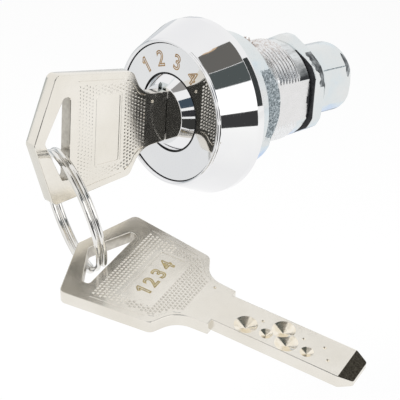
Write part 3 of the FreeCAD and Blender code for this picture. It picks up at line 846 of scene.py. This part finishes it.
# lines at the corners of the bow and beside the field, for the upper half
CORNER_LINE = [(-9.4, 8.35), (-8.6, 8.0), (-7.75, 7.1), (-7.1, 6.0), (-6.4, 5.35), (-5.2, 4.85)]
FIELD_LINE = [(-20.3, 9.95), (-15.0, 9.3), (-10.2, 8.75)]
FRAME_WIDE, CORNER_WIDE, LINE_WIDE, LINE_HIGH = 0.2, 0.26, 0.16, 0.07


def rounded(corners, steps=7):
    """Closed loop of points through corners (u, w, radius)."""
    points = []
    count = len(corners)
    for i in range(count):
        here = Vector(corners[i][:2])
        r = corners[i][2]
        if r <= 0:
            points.append(here)
            continue
        before = (Vector(corners[i - 1][:2]) - here).normalized()
        after = (Vector(corners[(i + 1) % count][:2]) - here).normalized()
        angle = before.angle(after)
        start = here + before * (r / math.tan(angle / 2))
        centre = here + (before + after).normalized() * (r / math.sin(angle / 2))
        v = start - centre
        side = 1 if before.x * after.y - before.y * after.x < 0 else -1
        for k in range(steps + 1):
            t = side * (math.pi - angle) * k / steps
            c, s = math.cos(t), math.sin(t)
            points.append(centre + Vector((v.x * c - v.y * s, v.x * s + v.y * c)))
    return points


def panel_loop(out, radius, steps=7):
    """Outline of the number panel, moved out and with rounded corners."""
    u0, u1, w = PANEL_U0 - out, PANEL_U1 + out, PANEL_W + out
    return rounded([(u0, w, radius), (u1, w, radius), (u1, -w, radius), (u0, -w, radius)], steps)


def plate_mesh(name, loops, thickness, edge):
    """Flat plate with rounded edges from closed loops of (u, w), in millimetres on the key's own axes."""
    curve = flat_curve(name, loops)
    curve.fill_mode = "BOTH"
    curve.extrude = thickness / 2 - edge
    curve.bevel_depth = edge
    curve.bevel_resolution = 2
    curve.offset = -edge
    mesh = as_mesh(in_scene(name, curve))
    mesh.transform(axes_matrix((0, 1, 0), (0, 0, 1), (1, 0, 0)))
    return welded(mesh, 1e-4)


def cone_cutter(side, u, w, radius, depth, sides):
    """Cone that sinks into one face of the key, with fine turning marks and a small flat at its point."""
    steps = 6
    levels = [(-depth, 0.03)]
    for i in range(1, steps):
        levels.append((-depth * (1 - i / steps), radius * i / steps + (0.02 if i % 2 else -0.02)))
    above = 0.4
    levels += [(0.0, radius), (above, radius + above * radius / depth)]
    rings = []
    for level, r in levels:
        ring = []
        for k in range(sides):
            a = TURN * k / sides
            ring.append((side * (HALF_T + level), u + r * math.cos(a), w + r * math.sin(a)))
        rings.append(ring)
    mesh = from_capped("cone", rings)
    mesh.transform(TO_MM)
    return painted(mesh, M_FRESH)


def tip_cutter(side):
    """Wedge that files the tip of the blade on one face."""
    profile = [(HALF_T, RAMP_U), (0.5, TIP_U), (0.19, TIP_U + 1.0), (3.0, TIP_U + 1.0), (3.0, RAMP_U)]
    mesh = from_capped("ramp", [[(side * x, u, w) for x, u in profile] for w in (-6.0, 6.0)])
    mesh.transform(TO_MM)
    return painted(mesh, M_FILED)


def inside(point, polygon):
    """Whether a point (u, w) lies in a closed loop of such points."""
    x, y = point
    result = False
    for i in range(len(polygon)):
        x0, y0 = polygon[i - 1]
        x1, y1 = polygon[i]
        if (y0 > y) != (y1 > y) and x < (x1 - x0) * (y - y0) / (y1 - y0) + x0:
            result = not result
    return result


def knurl(side, rear_high, front_high, base_w):
    """Rows of small raised pyramids round the number panel, with their height at the slot and at the neck."""
    verts, faces = [], []
    column = 0
    u = FIELD_REAR + 0.4
    while u < FIELD_FRONT - 0.1:
        share = (u - FIELD_REAR) / (FIELD_FRONT - FIELD_REAR)
        high = rear_high + (front_high - rear_high) * share
        w = -FIELD_W + (0.0 if column % 2 else KNURL_STEP_W / 2)
        while w < FIELD_W:
            beside = PANEL_U0 - KNURL_CLEAR < u < PANEL_U1 + KNURL_CLEAR
            clear = not (beside and abs(w) < PANEL_W + KNURL_CLEAR)
            reach = [(u - KNURL_BASE_U, w), (u + KNURL_BASE_U, w), (u, w - base_w), (u, w + base_w)]
            if clear and all(inside(c, FIELD) for c in reach):
                n = len(verts)
                for x, du, dw in (
                        (HALF_T - 0.01, KNURL_BASE_U, base_w), (HALF_T + high, KNURL_TIP, KNURL_TIP)):
                    for su, sw in ((-1, -1), (1, -1), (1, 1), (-1, 1)):
                        verts.append((side * x, u + su * du, w + sw * dw))
                for a in range(4):
                    b = (a + 1) % 4
                    faces.append((n + a, n + b, n + 4 + b, n + 4 + a))
                faces.append((n + 4, n + 5, n + 6, n + 7))
            w += KNURL_STEP_W
        u += KNURL_STEP_U
        column += 1
    mesh = bpy.data.meshes.new("knurl")
    mesh.from_pydata(verts, [], faces)
    return mesh


def ridge(side, path, width, high, closed=False):
    """Thin raised line along a path of (u, w) on one face."""
    points = [Vector(p) for p in path]
    rings = []
    count = len(points)
    for i, p in enumerate(points):
        if closed:
            before, after = points[i - 1], points[(i + 1) % count]
        else:
            before, after = points[max(0, i - 1)], points[min(count - 1, i + 1)]
        d = (after - before).normalized()
        n = Vector((-d.y, d.x)) * width / 2
        ring = []
        for x, reach in (
                (HALF_T - 0.02, -1.0), (HALF_T + high, -0.4), (HALF_T + high, 0.4), (HALF_T - 0.02, 1.0)):
            ring.append((side * x, p.x + n.x * reach, p.y + n.y * reach))
        rings.append(ring)
    mesh = from_grid("ridge", rings, closed_along=closed)
    mesh.transform(TO_MM)
    return mesh


def key_mesh(plating, rear_high, front_high, frame_high, corner_high, base_w):
    """The cut blank and its raised relief, in millimetres on the key's own axes."""
    blank = painted(plate_mesh("blank", [rounded(OUTLINE), rounded(SLOT)], KEY_T, EDGE_ROUND), plating)
    cutters = []
    for side in (1, -1):
        for places, radius, depth, sides in CUTS:
            for u, w in places:
                cutters.append(cone_cutter(side, u, w, radius, depth, sides))
        panel = plate_mesh("panel", [panel_loop(0.0, 0.4)], 1.0, 0.02)
        panel.transform(Matrix.Translation((side * (HALF_T - PANEL_DEEP + 0.5), 0, 0)))
        cutters.append(painted(panel, plating))
        cutters.append(tip_cutter(side))
    mesh = cut(blank, cutters, with_paint=True)
    slot_corners = [(u + (0.3 if u > -23 else -0.45), w * 1.06, r) for u, w, r in SLOT]
    slot_edge = [tuple(p) for p in rounded(slot_corners)]
    repaint(mesh, M_SHEAR, lambda c, n: abs(n.x) < 0.6 and inside((c.y, c.z), slot_edge), 1.0)
    extras = []
    for side in (1, -1):
        extras.append(knurl(side, rear_high, front_high, base_w))
        extras.append(ridge(side, panel_loop(FRAME_OUT, 0.5, 4), FRAME_WIDE, frame_high, True))
        for half in (1, -1):
            extras.append(ridge(side, [(u, w * half) for u, w in CORNER_LINE], CORNER_WIDE, corner_high))
            extras.append(ridge(side, [(u, w * half) for u, w in FIELD_LINE], LINE_WIDE, LINE_HIGH))
    return mesh, joined("key_relief", extras)


def shaded_knurl(pose):
    """Test for the sides of the knurl that face the tip or the lower edge, which get painted shade, for a key
    at a pose.
    """
    back = pose.inverted()
    turned_back = back.to_3x3()

    def test(c, n):
        facing = turned_back @ n
        return (back @ (c * MM)).y > KNURL_SPLIT and (facing.y > 0.2 or facing.z < -0.2)

    return test


# the spare key's own axes as it hangs from the ring
yaw, pitch, roll = math.radians(17.8), math.radians(-7.8), math.radians(16.35)
along_v = Vector((math.cos(pitch) * math.cos(yaw), math.cos(pitch) * math.sin(yaw), math.sin(pitch)))
level = Vector((-math.sin(yaw), math.cos(yaw), 0))
across_v = level * math.cos(roll) + along_v.cross(level) * math.sin(roll)
normal_v = along_v.cross(across_v)
SPARE_O = Vector((30.73, -22.15, -24.30))
INSERTED_O = Vector((0, SHOULDER_Y, 0))

inserted_pose = TO_METRES @ axes_matrix((1, 0, 0), (0, 1, 0), (0, 0, 1), INSERTED_O)
spare_pose = TO_METRES @ axes_matrix(normal_v, along_v, across_v, SPARE_O)
# plating, knurl height at the slot and at the neck, frame height, corner line height, knurl half width
INSERTED_LOOK = (M_BRIGHT, 0.045, 0.11, 0.015, 0.15, 0.20)
SPARE_LOOK = (M_NICKEL, 0.22, 0.20, 0.04, 0.04, 0.19)
for name, body, node, pose, look in (
        ("inserted_key_nickel", "key", "inserted_key", inserted_pose, INSERTED_LOOK),
        ("spare_key_nickel", "spare", "spare_key", spare_pose, SPARE_LOOK)):
    mesh, relief = key_mesh(*look)
    smooth(mesh, 24)
    for face in mesh.polygons:
        if abs(face.normal.x) > 0.999:
            face.use_smooth = False
    mesh.transform(pose)
    relief.transform(pose)
    piece(mesh, name, None, body, [node])
    piece(relief, name + "_relief", look[0], body)
    if body == "spare":
        # painted shade on the knurl's sides that face the tip or the lower edge
        repaint(relief, M_KNURL_SHADE, shaded_knurl(pose))

# the number on the spare key's upper face and on the inserted key's hidden face
PRINT_U, PRINT_W0, PRINT_STEP, PRINT_SIZE, PRINT_LINE = -13.45, -3.75, 2.5, 3.7, 0.24
for k, digit in enumerate("1234"):
    w = PRINT_W0 + PRINT_STEP * k
    place = SPARE_O + along_v * PRINT_U + across_v * w + normal_v * (HALF_T - PANEL_DEEP)
    print_digit(
        digit, "spare_digit_", PRINT_SIZE, PRINT_LINE, (across_v, -along_v, normal_v), place,
        M_OLIVE, "spare")
    place = (PANEL_DEEP - HALF_T, SHOULDER_Y + PRINT_U, -w)
    print_digit(
        digit, "inserted_digit_", PRINT_SIZE, PRINT_LINE, ((0, 0, -1), (0, -1, 0), (-1, 0, 0)), place,
        M_OLIVE, "key")


# split ring: two turns of wire through both keys' slots

RING_R, WIRE_R, COIL_PITCH, RING_TURNS, RING_STEPS, WIRE_SIDES = 11.0, 0.5, 1.06, 2, 900, 24
RING_START, RING_LEAN = math.radians(20), math.radians(12)
# share of the wire's radius at the last two steps of each end, which rounds it off
WIRE_ENDS = {0: 0.82, 1: 0.93}
in_first_slot = Vector((0, -34.3, -2.6))
in_spare_slot = SPARE_O + along_v * -23.8 + across_v * -2.4
chord = in_spare_slot - in_first_slot
half_chord = chord.length / 2
chord.normalize()
# from the ring to the camera
toward = Vector((0.722, -0.577, 0.386))
toward = (toward - chord * toward.dot(chord)).normalized()
depth_v = toward * math.cos(RING_LEAN) + toward.cross(chord) * math.sin(RING_LEAN)
axis_v = chord.cross(depth_v)
ring_centre = (in_first_slot + in_spare_slot) / 2 - depth_v * math.sqrt(RING_R ** 2 - half_chord ** 2)
rings = []
for i in range(RING_STEPS + 1):
    turn = RING_TURNS * i / RING_STEPS
    b = TURN * turn + RING_START
    out = chord * math.cos(b) + depth_v * math.sin(b)
    spot = ring_centre + out * RING_R + axis_v * (COIL_PITCH * (turn - RING_TURNS / 2))
    wire = WIRE_R * WIRE_ENDS.get(min(i, RING_STEPS - i), 1.0)
    ring = []
    for k in range(WIRE_SIDES):
        c = TURN * k / WIRE_SIDES
        ring.append(spot + out * (wire * math.cos(c)) + axis_v * (wire * math.sin(c)))
    rings.append(ring)
ring_mesh = from_capped("ring_form", rings)
piece(smooth(ring_mesh, 40), "split_ring_steel", M_RING, "ring", ["split_ring"])


# cards: plain glowing sheets that only the metal sees

CARD_Z, CARD_DISTANCE = -29.7, 420.0
WHITE = (1, 1, 1)


def glowing(tree, kind, colour, strength):
    node = tree.nodes.new(kind)
    node.inputs["Color"].default_value = rgb(*colour)
    node.inputs["Strength"].default_value = strength
    return node


def card(name, mesh, colour, strength=1.0):
    """Stage a mesh that glows in one plain colour for glossy rays only."""
    material = bpy.data.materials.new(name)
    material.use_nodes = True
    tree = material.node_tree
    tree.nodes.clear()
    glow = glowing(tree, "ShaderNodeEmission", colour, strength)
    out = tree.nodes.new("ShaderNodeOutputMaterial")
    tree.links.new(glow.outputs["Emission"], out.inputs["Surface"])
    mesh.materials.append(material)
    obj = in_scene(name, mesh)
    obj.visible_camera = False
    obj.visible_diffuse = False
    obj.visible_shadow = False
    obj.visible_transmission = False
    obj.visible_volume_scatter = False


def patch(az0, az1, el0, el1):
    """Piece of a sphere round the lock, in degrees. Azimuth 0 is -Y and 90 is +X, elevation 0 is level."""
    rings = []
    for el in (math.radians(el0 + (el1 - el0) * i / 12) for i in range(13)):
        ring = []
        for az in (math.radians(az0 + (az1 - az0) * j / 24) for j in range(25)):
            level_reach = CARD_DISTANCE * math.cos(el)
            z = max(CARD_DISTANCE * math.sin(el), CARD_Z + 0.2)
            ring.append((level_reach * math.sin(az), -level_reach * math.cos(az), z))
        rings.append(ring)
    return from_grid("patch", rings, closed_around=False)


def sheet(*rows):
    """Level sheet below the lock from rows of (x, y)."""
    return from_grid("sheet", [[(x, y, CARD_Z + 0.3) for x, y in row] for row in rows], closed_around=False)


card("card_soft_box", patch(60, 118, 5, 37), WHITE, 1.4)
card("card_low_bar", patch(72, 112, -13, 4.5), (0.05, 0.05, 0.052))
card("card_dark_above", patch(55, 125, 38, 60), (0.09, 0.105, 0.105))
card("card_grey_above", patch(20, 165, 60.5, 87), (0.15, 0.145, 0.135))
card("card_warm_edge", patch(20, 165, 87, 88.6), (0.66, 0.47, 0.30))
card("card_front_grey", patch(-25, 54, 51, 59), (0.34, 0.33, 0.32))
card("card_front_blue", patch(22, 57, 17, 36), (0.06, 0.085, 0.115))
card("card_front_bar", patch(28, 60, -4, 10.5), (0.04, 0.04, 0.045))
card("card_left_grey", patch(-102, -56, -3, 15), (0.52, 0.56, 0.58))
card("card_back", patch(186, 266, -4, 9), (0.74, 0.76, 0.78))
card("card_front_floor", sheet(
    [(34, -36), (92, -28)], [(36, -110), (150, -75)], [(50, -190), (190, -110)]), (0.045, 0.045, 0.043))
card("card_right_floor", sheet([(146, -48), (143, 58)], [(440, -143), (429, 174)]), (0.05, 0.05, 0.052))
card("card_left_floor", sheet([(-15, -22), (-15, -300)], [(-300, -22), (-300, -300)]), (0.87, 0.88, 0.88))
card("card_back_floor", sheet([(-12, 69), (-69, 10)], [(-69, 394), (-396, 56)]), (0.36, 0.39, 0.41))

# dark strip behind the bezel's rim
RIM_CARD_Y, RIM_CARD_FROM, RIM_CARD_STEP = 13.0, 10.5, 4
rim_angles = [math.radians(RIM_CARD_FROM + RIM_CARD_STEP * k) for k in range(13)]
rim_rows = [[(r * math.cos(a), RIM_CARD_Y, r * math.sin(a)) for a in rim_angles] for r in (27.0, 34.5)]
card("card_rim_dark", from_grid("sheet", rim_rows, closed_around=False), (0.05, 0.055, 0.055))


# floor and world: both are white to the camera, to metal and to glass

FLOOR_Z, FLOOR_SIDE, FLOOR_GLOW, SKY_LIGHT = -70.0, 1500, 0.86, 0.55


def seen_share(tree):
    """1 for camera, glossy and transmission rays, 0 for the rest."""
    path = tree.nodes.new("ShaderNodeLightPath")
    value = path.outputs["Is Camera Ray"]
    for kind in ("Is Glossy Ray", "Is Transmission Ray"):
        larger = tree.nodes.new("ShaderNodeMath")
        larger.operation = "MAXIMUM"
        tree.links.new(value, larger.inputs[0])
        tree.links.new(path.outputs[kind], larger.inputs[1])
        value = larger.outputs[0]
    return value


def mixed(tree, share, first, second, target):
    mix = tree.nodes.new("ShaderNodeMixShader")
    tree.links.new(share, mix.inputs["Fac"])
    tree.links.new(first, mix.inputs[1])
    tree.links.new(second, mix.inputs[2])
    tree.links.new(mix.outputs["Shader"], tree.nodes[target].inputs["Surface"])


floor_sides = (-FLOOR_SIDE, FLOOR_SIDE)
floor_mesh = from_grid("floor", [[(x, y, FLOOR_Z) for x in floor_sides] for y in floor_sides], False)
in_scene("floor", floor_mesh)
floor_material = bpy.data.materials.new("white_floor")
floor_material.use_nodes = True
tree = floor_material.node_tree
matte = tree.nodes["Principled BSDF"]
matte.inputs["Base Color"].default_value = rgb(0.86, 0.86, 0.86)
matte.inputs["Roughness"].default_value = 0.9
glow = glowing(tree, "ShaderNodeEmission", WHITE, 1.0)
share = tree.nodes.new("ShaderNodeMath")
share.operation = "MULTIPLY"
share.inputs[1].default_value = FLOOR_GLOW
tree.links.new(seen_share(tree), share.inputs[0])
mixed(tree, share.outputs[0], matte.outputs["BSDF"], glow.outputs["Emission"], "Material Output")
floor_mesh.materials.append(floor_material)

world = bpy.data.worlds.new("studio")
scene.world = world
world.use_nodes = True
tree = world.node_tree
sky = tree.nodes["Background"]
sky.inputs["Color"].default_value = rgb(*WHITE)
sky.inputs["Strength"].default_value = SKY_LIGHT
seen_sky = glowing(tree, "ShaderNodeBackground", WHITE, 1.0)
mixed(tree, seen_share(tree), sky.outputs["Background"], seen_sky.outputs["Background"], "World Output")


# lamps and camera

def lamp(name, place, size, watts):
    """Area lamp that faces the lock and isn't seen in the metal."""
    data = bpy.data.lights.new(name, "AREA")
    data.shape = "RECTANGLE"
    data.size = size[0] * MM
    data.size_y = size[1] * MM
    data.energy = watts
    obj = in_scene(name, data)
    obj.location = Vector(place) * MM
    obj.rotation_mode = "QUATERNION"
    obj.rotation_quaternion = (-obj.location).to_track_quat("-Z", "Y")
    obj.visible_glossy = False


lamp("lamp_top", (-150, -250, 500), (450, 350), 2.6)
lamp("lamp_side", (420, 80, 160), (300, 220), 1.4)

# the photograph's focal length and width in pixels, and the camera's place and axes
FOCAL_PX, FRAME_PX, SENSOR = 1391.1, 400, 36.0
EYE = Vector((178.2834, -172.2149, 81.2432))
EYE_RIGHT, EYE_UP, EYE_BACK = (0.6786, 0.7323, 0.0574), (-0.3123, 0.2169, 0.9249), (0.6648, -0.6456, 0.3759)

camera = bpy.data.cameras.new("camera")
camera.sensor_width = SENSOR
camera.lens = FOCAL_PX / FRAME_PX * SENSOR
camera.clip_start = 0.01
camera.clip_end = 10.0
eye = in_scene("camera", camera)
eye.matrix_world = axes_matrix(EYE_RIGHT, EYE_UP, EYE_BACK, EYE * MM)
scene.camera = eye
scene.view_settings.view_transform = "Standard"
